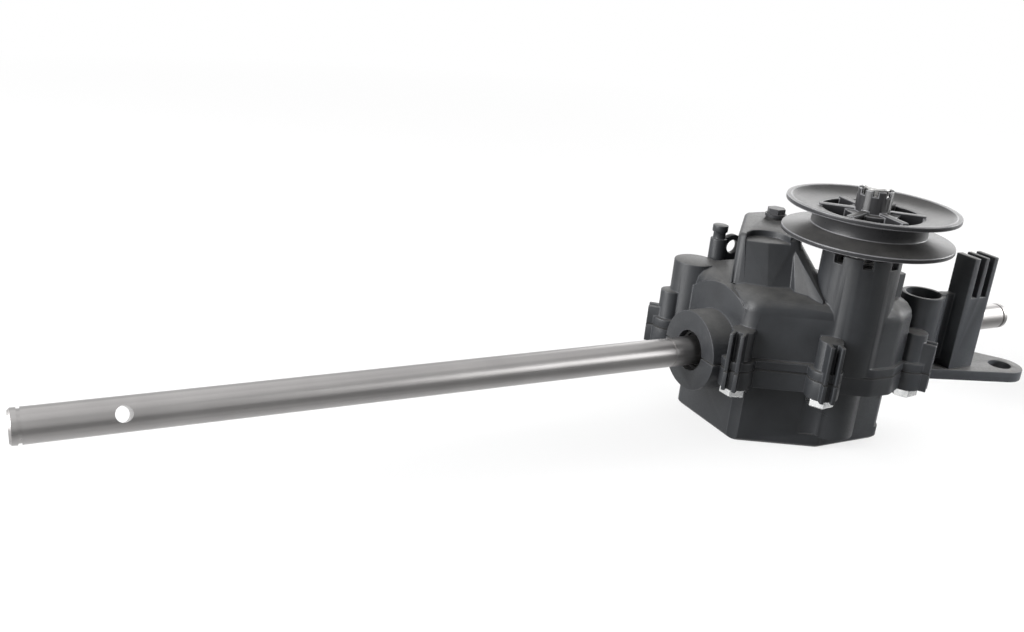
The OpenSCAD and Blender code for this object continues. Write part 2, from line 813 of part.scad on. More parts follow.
module input_shaft() {
    r = worm_bore_d / 2;
    shoulder_z = bearing_bottom - shoulder_ring_h;
    color(steel) difference() {
        at_input(0) rotate_extrude() polygon([
            [0, -shaft_bottom], [r - 0.6, -shaft_bottom], [r, -shaft_bottom + 0.6],
            [r, worm_top], [journal_d / 2, worm_top], [journal_d / 2, shoulder_z],
            [shoulder_ring_r, shoulder_z], [shoulder_ring_r, bearing_bottom],
            [journal_d / 2, bearing_bottom], [journal_d / 2, shaft_top - 0.6],
            [journal_d / 2 - 0.6, shaft_top], [0, shaft_top]
        ]);
        at_input(washer_seat + pulley_washer_t) ring(journal_d, journal_d / 2 - 0.5, pulley_clip_t);
        translate([-key_w / 2, -centre_dist - journal_d, hub_bottom + 2])
            cube([key_w, journal_d / 2 + key_depth, 16]);
        at_input(worm_pin_z) rotate([90, 0, 0]) translate([0, 0, -journal_d]) cylinder(d = worm_pin_d, h = 2 * journal_d, $fn = 32);
    }
}

module worm_thread() {
    // Axial half width of the thread at a radius, turned into an angle on the section
    function half_angle(r) =
        (axial_pitch / 4 - flank_play / 2 - (r - worm_pitch_r) * tan(pressure_angle)) * 360 / lead;
    flank_radii = [worm_tip_r, worm_pitch_r, worm_root_r];
    one_start = 360 / worm_starts;
    section = [
        for (k = [0 : worm_starts - 1]) each [
            for (i = [2, 1, 0]) let (a = k * one_start - half_angle(flank_radii[i]))
                flank_radii[i] * [cos(a), sin(a)],
            worm_tip_r * [cos(k * one_start), sin(k * one_start)],
            for (i = [0, 1, 2]) let (a = k * one_start + half_angle(flank_radii[i]))
                flank_radii[i] * [cos(a), sin(a)],
            worm_root_r * [cos((k + 0.5) * one_start), sin((k + 0.5) * one_start)]
        ]
    ];
    turn = 360 * thread_length / lead;
    translate([0, 0, -thread_length / 2]) rotate(90 - turn / 2)
        linear_extrude(thread_length, twist = -turn, slices = ceil(turn * thread_facets_a_turn / 360), $fn = 14)
            polygon(section);
}

module worm() {
    color(steel) at_input(0) difference() {
        union() {
            worm_thread();
            translate([0, 0, worm_bottom]) cylinder(r = worm_hub_r, h = -thread_length / 2 - worm_bottom);
            translate([0, 0, thread_length / 2]) cylinder(r = worm_collar_r, h = worm_top - thread_length / 2);
        }
        translate([0, 0, -40]) cylinder(d = worm_bore_d, h = 80);
        translate([0, 0, worm_pin_z]) rotate([90, 0, 0]) translate([0, 0, -20]) cylinder(d = worm_pin_d, h = 40, $fn = 32);
    }
}

module worm_pin() {
    color(dark_steel) at_input(worm_pin_z) rotate([90, 0, 0])
        translate([0, 0, -worm_collar_r]) cylinder(d = worm_pin_d, h = 2 * worm_collar_r, $fn = 32);
}

module lower_bush() {
    color(bronze) at_input(lower_bush_bottom) difference() {
        union() {
            cylinder(d = worm_bore_d + 2 * bush_wall, h = lower_bush_l);
            translate([0, 0, lower_bush_l]) cylinder(d = worm_bore_d + 2 * bush_wall, h = lower_bush_flange_t);
        }
        translate([0, 0, -1]) cylinder(d = worm_bore_d + 2 * running, h = lower_bush_l + 5);
    }
}

module lower_thrust_washer() {
    color(steel) at_input(lower_bush_top + lower_bush_flange_t + end_play)
        ring(worm_bore_d / 2 + 2.6, worm_bore_d / 2 + 0.1, lower_washer_t);
}

// One race of the ball bearing, with the ball groove on its outside or inside
module race(r_in, r_out) {
    at_input(bearing_bottom) rotate_extrude() difference() {
        translate([r_in, 0]) square([r_out - r_in, bearing_w]);
        translate([bearing_pitch_r, bearing_w / 2]) circle(r = ball_d / 2 + 0.04);
    }
}

module bearing_outer_race() {
    color(steel) race(bearing_pitch_r + race_step, bearing_od / 2);
}

module bearing_inner_race() {
    color(steel) race(journal_d / 2, bearing_pitch_r - race_step);
}

module at_balls() {
    for (i = [0 : ball_count - 1])
        at_input(bearing_bottom + bearing_w / 2) rotate(i * 360 / ball_count)
            translate([bearing_pitch_r, 0, 0]) children();
}

module bearing_balls() {
    color(steel) at_balls() sphere(d = ball_d, $fn = 48);
}

module bearing_cage() {
    color(nylon) difference() {
        at_input(bearing_bottom + (bearing_w - cage_h) / 2)
            ring(bearing_pitch_r + 0.7, bearing_pitch_r - 0.7, cage_h);
        at_balls() rotate([0, 90, 0]) cylinder(d = ball_d + 0.12, h = 4, center = true, $fn = 48);
    }
}

module bearing_clip() {
    color(dark_steel) at_input(bearing_top) rotate(200)
        snap_ring(bearing_od / 2 - 2, bearing_od / 2 + 1, bearing_clip_t, 6);
}

module input_seal() {
    lip_r = sleeve_r + lip_gap;
    color(rubber) at_input(seal_bottom) rotate_extrude() polygon([
        [lip_r, 2.4], [lip_r + 1, 1], [lip_r + 1.8, 1], [lip_r + 2, 4], [bearing_od / 2 - 1.6, 4],
        [bearing_od / 2 - 1.6, 0], [bearing_od / 2, 0], [bearing_od / 2, seal_h],
        [lip_r + 0.8, seal_h], [lip_r + 0.8, 4.5]
    ]);
}

module input_sleeve() {
    color(steel) at_input(bearing_top) ring(sleeve_r, journal_d / 2, hub_bottom - bearing_top);
}

module pulley() {
    groove_low = pulley_bottom + (pulley_w - drum_w) / 2;
    groove_high = groove_low + drum_w;
    web_low = pulley_bottom + 7;
    web_high = pulley_top - 3;
    color(charcoal) difference() {
        at_input(0) union() {
            difference() {
                rotate_extrude() polygon([
                    [journal_d / 2, hub_bottom], [pulley_hub_r, hub_bottom], [pulley_hub_r, web_low],
                    [drum_r - 2.4, web_low], [drum_r - 2.4, pulley_bottom + rim_t],
                    [drum_r - 1, pulley_bottom], [pulley_r, pulley_bottom],
                    [pulley_r, pulley_bottom + rim_t], [drum_r, groove_low], [drum_r, groove_high],
                    [pulley_r, pulley_top - rim_t], [pulley_r, pulley_top], [pulley_r - 2, pulley_top],
                    [pulley_r - 3.4, web_high + 1.5], [drum_r, web_high], [journal_d / 2, web_high]
                ]);
                difference() {
                    translate([0, 0, web_low - 1]) ring(drum_r - 2.9, pulley_hub_r + 1.5, 20);
                    for (i = [0 : spokes - 1]) rotate(i * 360 / spokes + spoke_phase)
                        translate([0, -spoke_t / 2, 0]) cube([pulley_r, spoke_t, 90]);
                }
            }
            for (i = [0 : spokes - 1]) rotate(i * 360 / spokes + spoke_phase)
                translate([crown_r - 1, -spoke_t / 2, web_low + 1])
                    cube([drum_r - 1 - crown_r, spoke_t, web_high - web_low]);
            difference() {
                translate([0, 0, web_high - eps]) cylinder(r = crown_r, h = crown_top - web_high);
                translate([0, 0, washer_seat]) cylinder(r = crown_bore_r, h = 10);
                for (i = [0 : 7]) rotate(i * 45) translate([crown_bore_r - 1, -1, crown_top - 2.2]) cube([4, 2, 4]);
            }
        }
        at_input(0) cylinder(d = journal_d, h = 90);
        translate([-key_w / 2, -centre_dist - journal_d / 2 - 1.4, hub_bottom - 1])
            cube([key_w, journal_d / 2, washer_seat - hub_bottom + 2]);
    }
}

module pulley_key() {
    color(steel) translate([-key_w / 2, -centre_dist - journal_d / 2 - 1.3, hub_bottom + 2])
        cube([key_w, key_depth + 1.3, 16]);
}

module pulley_washer() {
    color(steel) at_input(washer_seat) ring(crown_bore_r - 0.1, journal_d / 2, pulley_washer_t);
}

module pulley_clip() {
    color(dark_steel) at_input(washer_seat + pulley_washer_t) rotate(60)
        snap_ring(journal_d / 2 - 0.5, crown_bore_r - 0.2, pulley_clip_t, 3);
}

module filler_plug() {
    stem = wall + dome_step;
    translate([plug_place.x, plug_place.y, dome_top]) color(charcoal) {
        translate([0, 0, -stem]) cylinder(d = plug_thread_d, h = stem + 1.2, $fn = 48);
        translate([0, 0, 1]) cylinder(r = 4.6, h = 1.2);
        translate([0, 0, 2.2]) cylinder(d = 7 / cos(30), h = 2.4, $fn = 6);
    }
}

module plug_seal() {
    color(rubber) translate([plug_place.x, plug_place.y, dome_top]) ring(4.2, plug_thread_d / 2, 1);
}

lower_housing();
upper_housing();
housing_gasket();
housing_screws();
axle();
left_bush();
right_bush();
left_axle_seal();
right_axle_seal();
left_thrust_washer();
right_thrust_washer();
left_spacer();
right_spacer();
worm_wheel();
wheel_hub();
wheel_key();
wheel_clips();
input_shaft();
worm();
worm_pin();
lower_bush();
lower_thrust_washer();
bearing_outer_race();
bearing_inner_race();
bearing_balls();
bearing_cage();
bearing_clip();
input_seal();
input_sleeve();
pulley();
pulley_key();
pulley_washer();
pulley_clip();
filler_plug();
plug_seal();
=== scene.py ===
import math
import bmesh
import bpy
from mathutils import Matrix, Vector


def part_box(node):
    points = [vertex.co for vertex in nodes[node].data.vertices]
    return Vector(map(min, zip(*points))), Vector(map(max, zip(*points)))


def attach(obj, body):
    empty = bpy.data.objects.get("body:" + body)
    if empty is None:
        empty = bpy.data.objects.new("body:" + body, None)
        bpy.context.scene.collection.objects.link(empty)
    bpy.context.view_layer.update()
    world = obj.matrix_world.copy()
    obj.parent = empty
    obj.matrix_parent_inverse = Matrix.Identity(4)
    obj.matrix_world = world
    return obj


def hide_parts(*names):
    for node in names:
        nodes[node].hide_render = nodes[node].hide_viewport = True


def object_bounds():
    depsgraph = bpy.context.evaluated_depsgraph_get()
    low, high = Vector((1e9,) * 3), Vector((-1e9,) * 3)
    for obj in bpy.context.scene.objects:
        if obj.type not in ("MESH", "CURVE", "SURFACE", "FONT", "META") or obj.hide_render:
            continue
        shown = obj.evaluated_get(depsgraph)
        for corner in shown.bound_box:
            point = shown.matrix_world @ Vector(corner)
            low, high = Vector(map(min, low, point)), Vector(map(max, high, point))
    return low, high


# Worm drive gearbox: finishes, softened mouldings, hexagon screws, light and camera.
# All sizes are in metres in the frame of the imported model.
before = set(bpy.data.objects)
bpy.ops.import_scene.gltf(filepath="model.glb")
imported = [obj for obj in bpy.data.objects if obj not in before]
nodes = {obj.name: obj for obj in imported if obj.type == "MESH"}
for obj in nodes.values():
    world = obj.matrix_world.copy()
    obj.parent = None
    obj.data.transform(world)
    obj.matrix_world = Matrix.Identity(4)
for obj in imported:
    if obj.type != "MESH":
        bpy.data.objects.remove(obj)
cad_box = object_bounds()
scene = bpy.context.scene
MM = 0.001

# A noise texture's values lie mostly between these
NOISE_LOW, NOISE_HIGH = 0.3, 0.7
WHITE = (1.0, 1.0, 1.0, 1.0)


# Node trees

def put(tree, kind, inputs=None, **settings):
    """A new node with its settings and the plain values of its inputs."""
    node = tree.nodes.new(kind)
    for name, value in settings.items():
        setattr(node, name, value)
    for name, value in (inputs or {}).items():
        node.inputs[name].default_value = value
    return node


def new_group(name, sockets):
    """A shader group with sockets given as (name, 'INPUT' or 'OUTPUT', kind, plain value)."""
    group = bpy.data.node_groups.new(name, "ShaderNodeTree")
    for label, way, kind, value in sockets:
        socket = group.interface.new_socket(name=label, in_out=way, socket_type="NodeSocket" + kind)
        if value is not None:
            socket.default_value = value
    return group, group.nodes.new("NodeGroupInput"), group.nodes.new("NodeGroupOutput")


def stretched(group, source, factor):
    """The coordinates times a factor on each axis."""
    scale = put(group, "ShaderNodeVectorMath", operation="MULTIPLY")
    group.links.new(source, scale.inputs[0])
    group.links.new(factor, scale.inputs[1])
    return scale.outputs["Vector"]


def moulded_grain_group():
    """Spark-eroded texture of a moulding, with soft sink waves in it."""
    group, given, result = new_group("Moulded grain", [
        ("Coordinates", "INPUT", "Vector", None),
        ("Grain Size", "INPUT", "Float", 1400.0),
        ("Wave Size", "INPUT", "Float", 60.0),
        ("Height", "OUTPUT", "Float", None),
        ("Speckle", "OUTPUT", "Float", None),
    ])
    links = group.links
    grain = put(group, "ShaderNodeTexNoise", {"Detail": 3.0, "Roughness": 0.65})
    wave = put(group, "ShaderNodeTexNoise", {"Detail": 1.0, "Roughness": 0.4})
    blend = put(group, "ShaderNodeMath", {1: 0.22}, operation="MULTIPLY_ADD")
    for texture, size in ((grain, "Grain Size"), (wave, "Wave Size")):
        links.new(given.outputs["Coordinates"], texture.inputs["Vector"])
        links.new(given.outputs[size], texture.inputs["Scale"])
    links.new(grain.outputs["Fac"], blend.inputs[0])
    links.new(wave.outputs["Fac"], blend.inputs[2])
    links.new(blend.outputs[0], result.inputs["Height"])
    links.new(grain.outputs["Fac"], result.inputs["Speckle"])
    return group


def patchy_tone_group():
    """Two tones of one colour in soft patches, as on handled or oiled parts."""
    group, given, result = new_group("Patchy tone", [
        ("Coordinates", "INPUT", "Vector", None),
        ("Patch Size", "INPUT", "Float", 90.0),
        ("Low Tone", "INPUT", "Color", (0.1, 0.1, 0.1, 1.0)),
        ("High Tone", "INPUT", "Color", (0.2, 0.2, 0.2, 1.0)),
        ("Colour", "OUTPUT", "Color", None),
    ])
    links = group.links
    patches = put(group, "ShaderNodeTexNoise", {"Detail": 5.0, "Roughness": 0.6, "Distortion": 0.4})
    spread = put(group, "ShaderNodeMapRange", {"From Min": NOISE_LOW, "From Max": NOISE_HIGH})
    mix = put(group, "ShaderNodeMix", data_type="RGBA")
    links.new(given.outputs["Coordinates"], patches.inputs["Vector"])
    links.new(given.outputs["Patch Size"], patches.inputs["Scale"])
    links.new(patches.outputs["Fac"], spread.inputs["Value"])
    links.new(spread.outputs["Result"], mix.inputs[0])
    links.new(given.outputs["Low Tone"], mix.inputs[6])
    links.new(given.outputs["High Tone"], mix.inputs[7])
    links.new(mix.outputs[2], result.inputs["Colour"])
    return group


def tool_marks_group():
    """Fine lines left by drawing or turning: the stretch sets the way that they run."""
    group, given, result = new_group("Tool marks", [
        ("Coordinates", "INPUT", "Vector", None),
        ("Stretch", "INPUT", "Vector", (8.0, 900.0, 900.0)),
        ("Marks", "OUTPUT", "Float", None),
        ("Broad Marks", "OUTPUT", "Float", None),
    ])
    links = group.links
    across = stretched(group, given.outputs["Coordinates"], given.outputs["Stretch"])
    fine = put(group, "ShaderNodeTexNoise", {"Scale": 1.0, "Detail": 4.0, "Roughness": 0.7})
    broad = put(group, "ShaderNodeTexNoise", {"Scale": 0.22, "Detail": 2.0, "Roughness": 0.5})
    for texture in (fine, broad):
        links.new(across, texture.inputs["Vector"])
    links.new(fine.outputs["Fac"], result.inputs["Marks"])
    links.new(broad.outputs["Fac"], result.inputs["Broad Marks"])
    return group


def dust_and_top_light_group():
    """Lighter colour on what faces up, broken by a soft pattern: dust, and painted light from above."""
    group, given, result = new_group("Settled dust and painted top light", [
        ("Coordinates", "INPUT", "Vector", None),
        ("Amount", "INPUT", "Float", 0.3),
        ("Dust and top light", "OUTPUT", "Float", None),
    ])
    links = group.links
    surface = put(group, "ShaderNodeNewGeometry")
    parts = put(group, "ShaderNodeSeparateXYZ")
    upward = put(group, "ShaderNodeMapRange", {"From Min": 0.35, "From Max": 1.0})
    patches = put(group, "ShaderNodeTexNoise", {"Scale": 140.0, "Detail": 6.0, "Roughness": 0.7})
    broken = put(group, "ShaderNodeMath", operation="MULTIPLY")
    amount = put(group, "ShaderNodeMath", operation="MULTIPLY")
    links.new(surface.outputs["Normal"], parts.inputs[0])
    links.new(parts.outputs["Z"], upward.inputs["Value"])
    links.new(given.outputs["Coordinates"], patches.inputs["Vector"])
    links.new(upward.outputs["Result"], broken.inputs[0])
    links.new(patches.outputs["Fac"], broken.inputs[1])
    links.new(broken.outputs[0], amount.inputs[0])
    links.new(given.outputs["Amount"], amount.inputs[1])
    links.new(amount.outputs[0], result.inputs["Dust and top light"])
    return group


GRAIN = moulded_grain_group()
TONE = patchy_tone_group()
MARKS = tool_marks_group()
DUST_AND_TOP_LIGHT = dust_and_top_light_group()


# Finishes

def use(tree, group, coordinates, inputs=None):
    """One of the groups above, placed in a material with its own values."""
    node = tree.nodes.new("ShaderNodeGroup")
    node.node_tree = group
    tree.links.new(coordinates, node.inputs["Coordinates"])
    for name, value in (inputs or {}).items():
        node.inputs[name].default_value = value
    return node


def new_finish(name, fixed):
    """A material with its shader, whose constants sit on the shader's own sockets."""
    material = bpy.data.materials.new(name)
    material.use_nodes = True
    tree = material.node_tree
    shader = tree.nodes["Principled BSDF"]
    for socket, value in fixed.items():
        shader.inputs[socket].default_value = value
    coordinates = tree.nodes.new("ShaderNodeTexCoord").outputs["Object"]
    return material, tree, shader, coordinates


def roughness_from(tree, shader, value, low, high):
    """Roughness between two limits, read from a noise value."""
    spread = put(tree, "ShaderNodeMapRange",
                 {"From Min": NOISE_LOW, "From Max": NOISE_HIGH, "To Min": low, "To Max": high})
    tree.links.new(value, spread.inputs["Value"])
    tree.links.new(spread.outputs["Result"], shader.inputs["Roughness"])


def bump_from(tree, shader, height, strength, distance):
    """Small relief on the surface."""
    bump = put(tree, "ShaderNodeBump", {"Strength": strength, "Distance": distance})
    tree.links.new(height, bump.inputs["Height"])
    tree.links.new(bump.outputs["Normal"], shader.inputs["Normal"])


# Pale colour for the top faces: dust, and painted light falling from above.
DUST_AND_TOP_LIGHT_COLOUR = (0.30, 0.29, 0.27, 1.0)
MOULDED_PATCH = 55.0
MOULDED_BUMP = 0.25 * MM
METAL_BUMP = 0.04 * MM


def moulded(name, low, high, rough, dust_and_top_light=0.3, grain=1400.0, relief=0.35, specular=0.3):
    """Glass-filled nylon or another moulding: grained, patchy, with its top faces lightened by dust and by
    painted light from above.
    """
    material, tree, shader, where = new_finish(name, {"Specular IOR Level": specular})
    texture = use(tree, GRAIN, where, {"Grain Size": grain})
    tone = use(tree, TONE, where,
               {"Patch Size": MOULDED_PATCH, "Low Tone": low + (1.0,), "High Tone": high + (1.0,)})
    # Top faces lightened: dust, and painted light falling from above.
    dust_and_top_light_node = use(tree, DUST_AND_TOP_LIGHT, where, {"Amount": dust_and_top_light})
    mix = put(tree, "ShaderNodeMix", {7: DUST_AND_TOP_LIGHT_COLOUR}, data_type="RGBA")
    tree.links.new(dust_and_top_light_node.outputs["Dust and top light"], mix.inputs[0])
    tree.links.new(tone.outputs["Colour"], mix.inputs[6])
    tree.links.new(mix.outputs[2], shader.inputs["Base Color"])
    roughness_from(tree, shader, texture.outputs["Speckle"], rough[0], rough[1])
    bump_from(tree, shader, texture.outputs["Height"], relief, MOULDED_BUMP)
    return material


def metal(name, low, high, rough, stretch, relief=0.15, patch=70.0, streaks=(0.74, 1.12)):
    """Bare or plated metal with the marks of its making."""
    material, tree, shader, where = new_finish(name, {"Metallic": 1.0})
    marks = use(tree, MARKS, where, {"Stretch": stretch})
    tone = use(tree, TONE, where, {"Patch Size": patch, "Low Tone": low + (1.0,), "High Tone": high + (1.0,)})
    streak = put(tree, "ShaderNodeMapRange",
                 {"From Min": NOISE_LOW, "From Max": NOISE_HIGH, "To Min": streaks[0], "To Max": streaks[1]})
    shade = put(tree, "ShaderNodeMix", {0: 1.0}, data_type="RGBA", blend_type="MULTIPLY")
    tree.links.new(marks.outputs["Broad Marks"], streak.inputs["Value"])
    tree.links.new(tone.outputs["Colour"], shade.inputs[6])
    tree.links.new(streak.outputs["Result"], shade.inputs[7])
    tree.links.new(shade.outputs[2], shader.inputs["Base Color"])
    roughness_from(tree, shader, marks.outputs["Marks"], rough[0], rough[1])
    bump_from(tree, shader, marks.outputs["Marks"], relief, METAL_BUMP)
    return material


# Stretch of the tool marks on each axis
ALONG_X = (9.0, 1100.0, 1100.0)
ROUND_X = (2600.0, 12.0, 12.0)
ROUND_Z = (12.0, 12.0, 2600.0)
EVEN = (700.0, 700.0, 700.0)

# Each finish has its dark tone, its light tone and its roughness from and to
casing_plastic = moulded("Casing nylon", (0.0150, 0.0160, 0.0178), (0.0245, 0.0262, 0.0290), (0.38, 0.54))
# A lighter tone for the casing's rounded edge faces: a painted edge highlight.
casing_edge_highlight = moulded("Casing nylon, painted edge highlight", (0.026, 0.027, 0.030), (0.042, 0.044, 0.048),
                       (0.36, 0.5), dust_and_top_light=0.1)
pulley_plastic = moulded("Pulley nylon", (0.012, 0.012, 0.013), (0.022, 0.022, 0.024), (0.26, 0.40),
                         dust_and_top_light=0.22, grain=1900.0)
# A much lighter tone for the pulley's rounded edge faces: a painted edge highlight.
pulley_edge_highlight = moulded("Pulley nylon, painted edge highlight", (0.10, 0.10, 0.105), (0.17, 0.17, 0.178),
                       (0.24, 0.36), dust_and_top_light=0.0)
plug_plastic = moulded("Plug nylon", (0.020, 0.020, 0.022), (0.030, 0.030, 0.033), (0.35, 0.5), dust_and_top_light=0.25)
drawn_steel = metal("Drawn axle bar", (0.310, 0.301, 0.298), (0.365, 0.355, 0.351), (0.26, 0.40), ALONG_X,
                    relief=0.2, patch=28.0, streaks=(0.84, 1.10))
turned_x = metal("Steel turned round X", (0.42, 0.41, 0.40), (0.55, 0.54, 0.53), (0.22, 0.38), ROUND_X)
turned_z = metal("Steel turned round Z", (0.46, 0.455, 0.45), (0.62, 0.61, 0.60), (0.18, 0.34), ROUND_Z)
dark_steel = metal("Phosphated steel", (0.075, 0.075, 0.078), (0.13, 0.13, 0.135), (0.38, 0.58), EVEN)
zinc = metal("Zinc-plated steel", (0.66, 0.67, 0.68), (0.86, 0.86, 0.85), (0.16, 0.34), EVEN,
             relief=0.1, patch=220.0)
ground_steel = metal("Ground bearing steel", (0.58, 0.58, 0.58), (0.68, 0.68, 0.68), (0.08, 0.2), ROUND_Z,
                     relief=0.05)
bronze = metal("Bearing bronze", (0.42, 0.26, 0.12), (0.60, 0.40, 0.20), (0.36, 0.56), EVEN, relief=0.3)
cage_nylon = moulded("Natural nylon", (0.60, 0.55, 0.43), (0.74, 0.69, 0.57), (0.35, 0.5),
                     dust_and_top_light=0.0, relief=0.15, specular=0.5)
rubber = moulded("Nitrile rubber", (0.010, 0.010, 0.010), (0.020, 0.020, 0.020), (0.55, 0.78),
                 dust_and_top_light=0.15, grain=2400.0)

FINISH = {
    "lower_housing": casing_plastic, "upper_housing": casing_plastic, "housing_gasket": rubber,
    "housing_screws": zinc, "axle": drawn_steel, "left_bush": bronze, "right_bush": bronze,
    "left_axle_seal": rubber, "right_axle_seal": rubber, "left_thrust_washer": turned_x,
    "right_thrust_washer": turned_x, "left_spacer": turned_x, "right_spacer": turned_x,
    "worm_wheel": bronze, "wheel_hub": dark_steel, "wheel_key": turned_x, "wheel_clips": dark_steel,
    "input_shaft": turned_z, "worm": turned_z, "worm_pin": dark_steel, "lower_bush": bronze,
    "lower_thrust_washer": turned_z, "bearing_outer_race": ground_steel, "bearing_inner_race": ground_steel,
    "bearing_balls": ground_steel, "bearing_cage": cage_nylon, "bearing_clip": dark_steel,
    "input_seal": rubber, "input_sleeve": turned_z, "pulley": pulley_plastic, "pulley_key": turned_z,
    "pulley_washer": zinc, "pulley_clip": zinc, "filler_plug": plug_plastic, "plug_seal": rubber,
}


def dress(obj, *materials):
    """Puts materials in the object's slots."""
    while len(obj.material_slots) < len(materials):
        obj.data.materials.append(None)
    for slot, material in zip(obj.material_slots, materials):
        slot.material = material


for node_name, node_object in nodes.items():
    dress(node_object, FINISH[node_name])


# Mouldings with softened edges

WELD = 0.004 * MM
FLAT_ANGLE = math.radians(0.6)
ROUNDED_ANGLE = math.radians(38)
SMOOTH_ANGLE = math.radians(32)


def plain_mesh(obj):
    """The object's evaluated shape as one plain mesh, with its modifiers gone."""
    shape = bpy.data.meshes.new_from_object(obj.evaluated_get(bpy.context.evaluated_depsgraph_get()))
    obj.modifiers.clear()
    obj.data = shape


def softened(node, body, width, face_finish, edge_highlight_finish):
    """A copy of a moulding whose sharp edges are rounded, the rounds in a lighter finish as a painted
    highlight, standing for the CAD node.
    """
    mesh = nodes[node].data.copy()
    piece = bpy.data.objects.new(node + "_moulding", mesh)
    scene.collection.objects.link(piece)
    shape = bmesh.new()
    shape.from_mesh(mesh)
    bmesh.ops.remove_doubles(shape, verts=shape.verts, dist=WELD)
    bmesh.ops.dissolve_limit(shape, angle_limit=FLAT_ANGLE, verts=shape.verts, edges=shape.edges)
    shape.to_mesh(mesh)
    shape.free()
    dress(piece, face_finish, edge_highlight_finish)
    round_off = piece.modifiers.new("Round off", "BEVEL")
    round_off.width = width
    round_off.segments = 2
    round_off.limit_method = "ANGLE"
    round_off.angle_limit = ROUNDED_ANGLE
    round_off.use_clamp_overlap = False
    # The rounds take the second, lighter finish: a painted edge highlight.
    round_off.material = 1
    bpy.context.view_layer.update()
    plain_mesh(piece)
    piece.data.polygons.foreach_set("use_smooth", [True] * len(piece.data.polygons))
    piece.data.set_sharp_from_angle(angle=SMOOTH_ANGLE)
    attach(piece, body)
    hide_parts(node)


softened("lower_housing", "casing", 0.22 * MM, casing_plastic, casing_edge_highlight)
softened("upper_housing", "casing", 0.35 * MM, casing_plastic, casing_edge_highlight)
softened("pulley", "input_set", 0.3 * MM, pulley_plastic, pulley_edge_highlight)


# Hexagon screws

# Each screw's place in mm and its turn in degrees
SCREW_SPOTS = [
    (-46.0, -20.0, 215), (-17.0, -39.0, 245), (28.5, -40.0, 305),
    (42.0, 19.0, 25), (6.0, 35.5, 90), (-47.5, 28.5, 140),
]
SCREW_SIZES_MM = (
    ("Head Radius", 5.77), ("Head Height", 4.0), ("Washer Face Height", 0.5),
    ("Washer Face Radius", 4.9), ("Shank Radius", 3.0), ("Screw Length", 25.3),
)
CHAMFER_DEPTH_SHARE = 0.2
CHAMFER_RADIUS_SHARE = 0.82
SCREW_EDGE = 0.18 * MM
SCREW_EDGE_ANGLE = math.radians(40)


def screw_spots():
    """Points under the flange, each with the turn of its screw."""
    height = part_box("housing_screws")[0][2]
    mesh = bpy.data.meshes.new("screw_spots")
    mesh.from_pydata([(x * MM, y * MM, height) for x, y, turn in SCREW_SPOTS], [], [])
    turns = mesh.attributes.new("turn", "FLOAT", "POINT")
    turns.data.foreach_set("value", [math.radians(turn) for x, y, turn in SCREW_SPOTS])
    spots = bpy.data.objects.new("housing_screws_hex", mesh)
    scene.collection.objects.link(spots)
    return spots


